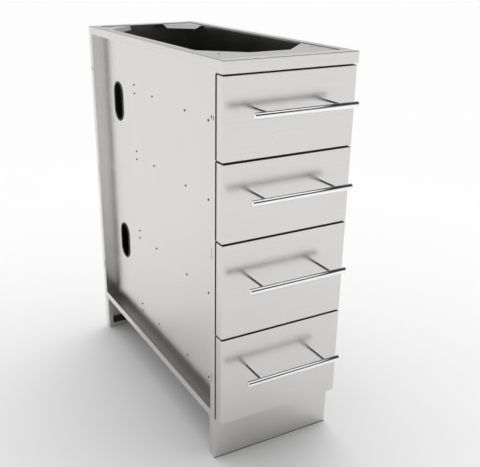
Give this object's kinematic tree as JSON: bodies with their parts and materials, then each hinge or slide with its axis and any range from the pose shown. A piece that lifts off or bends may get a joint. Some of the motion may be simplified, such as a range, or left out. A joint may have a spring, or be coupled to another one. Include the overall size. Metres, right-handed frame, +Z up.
{
  "type": "outdoor kitchen drawer unit",
  "caption": "Narrow steel outdoor kitchen cabinet with full width drawer faces, bar handles and telescopic slides, open top frame and toe kicks.",
  "frame": {"origin": "on the floor, midway between the sides and midway between the handle fronts and the back", "axes": "+X to the right seen from the drawers, +Y from the drawers to the back, +Z up"},
  "size_m": [0.3048, 0.795, 0.889],
  "materials": {
    "stainless_panel": "satin",
    "chrome_bar": "polished",
    "zinc_steel": "zinc plated",
    "black_plastic": "matt",
    "rubber": "matt"
  },
  "bodies": {
    "cabinet": {"side_panel_left": "stainless_panel", "side_panel_right": "stainless_panel", "back_panel": "stainless_panel", "bottom_panel": "stainless_panel", "top_rail_front": "stainless_panel", "top_rail_rear": "stainless_panel", "top_rail_left": "stainless_panel", "top_rail_right": "stainless_panel", "front_deck_plate": "stainless_panel", "rear_gusset_left": "stainless_panel", "rear_gusset_right": "stainless_panel", "toe_kick_front": "stainless_panel", "toe_kick_rear": "stainless_panel", "cable_grommets": "black_plastic", "slide_screws": "zinc_steel", "drawer_seals": "rubber", "slide_1_outer_left": "zinc_steel", "slide_1_outer_right": "zinc_steel", "slide_2_outer_left": "zinc_steel", "slide_2_outer_right": "zinc_steel", "slide_3_outer_left": "zinc_steel", "slide_3_outer_right": "zinc_steel", "slide_4_outer_left": "zinc_steel", "slide_4_outer_right": "zinc_steel"},
    "slide_1_middle": {"slide_1_middle_pair": "zinc_steel"},
    "drawer_1": {"drawer_1_front_panel": "stainless_panel", "drawer_1_liner": "stainless_panel", "drawer_1_box": "stainless_panel", "drawer_1_handle_bar": "chrome_bar", "drawer_1_handle_posts": "chrome_bar", "drawer_1_handle_screws": "zinc_steel", "drawer_1_slide_left": "zinc_steel", "drawer_1_slide_right": "zinc_steel"},
    "slide_2_middle": {"slide_2_middle_pair": "zinc_steel"},
    "drawer_2": {"drawer_2_front_panel": "stainless_panel", "drawer_2_liner": "stainless_panel", "drawer_2_box": "stainless_panel", "drawer_2_handle_bar": "chrome_bar", "drawer_2_handle_posts": "chrome_bar", "drawer_2_handle_screws": "zinc_steel", "drawer_2_slide_left": "zinc_steel", "drawer_2_slide_right": "zinc_steel"},
    "slide_3_middle": {"slide_3_middle_pair": "zinc_steel"},
    "drawer_3": {"drawer_3_front_panel": "stainless_panel", "drawer_3_liner": "stainless_panel", "drawer_3_box": "stainless_panel", "drawer_3_handle_bar": "chrome_bar", "drawer_3_handle_posts": "chrome_bar", "drawer_3_handle_screws": "zinc_steel", "drawer_3_slide_left": "zinc_steel", "drawer_3_slide_right": "zinc_steel"},
    "slide_4_middle": {"slide_4_middle_pair": "zinc_steel"},
    "drawer_4": {"drawer_4_front_panel": "stainless_panel", "drawer_4_liner": "stainless_panel", "drawer_4_box": "stainless_panel", "drawer_4_handle_bar": "chrome_bar", "drawer_4_handle_posts": "chrome_bar", "drawer_4_handle_screws": "zinc_steel", "drawer_4_slide_left": "zinc_steel", "drawer_4_slide_right": "zinc_steel"}
  },
  "joints": [
    {"name": "drawer_1_travel", "type": "slide", "parent": "cabinet", "child": "drawer_1", "axis": [0, -1, 0], "range_m": [0, 0.44]},
    {"name": "slide_1_travel", "type": "slide", "parent": "cabinet", "child": "slide_1_middle", "axis": [0, -1, 0], "range_m": [0, 0.22]},
    {"name": "drawer_2_travel", "type": "slide", "parent": "cabinet", "child": "drawer_2", "axis": [0, -1, 0], "range_m": [0, 0.44]},
    {"name": "slide_2_travel", "type": "slide", "parent": "cabinet", "child": "slide_2_middle", "axis": [0, -1, 0], "range_m": [0, 0.22]},
    {"name": "drawer_3_travel", "type": "slide", "parent": "cabinet", "child": "drawer_3", "axis": [0, -1, 0], "range_m": [0, 0.44]},
    {"name": "slide_3_travel", "type": "slide", "parent": "cabinet", "child": "slide_3_middle", "axis": [0, -1, 0], "range_m": [0, 0.22]},
    {"name": "drawer_4_travel", "type": "slide", "parent": "cabinet", "child": "drawer_4", "axis": [0, -1, 0], "range_m": [0, 0.44]},
    {"name": "slide_4_travel", "type": "slide", "parent": "cabinet", "child": "slide_4_middle", "axis": [0, -1, 0], "range_m": [0, 0.22]}
  ],
  "couplings": [
    {"joint": "slide_1_travel", "follows": "drawer_1_travel", "ratio": 0.5},
    {"joint": "slide_2_travel", "follows": "drawer_2_travel", "ratio": 0.5},
    {"joint": "slide_3_travel", "follows": "drawer_3_travel", "ratio": 0.5},
    {"joint": "slide_4_travel", "follows": "drawer_4_travel", "ratio": 0.5}
  ]
}
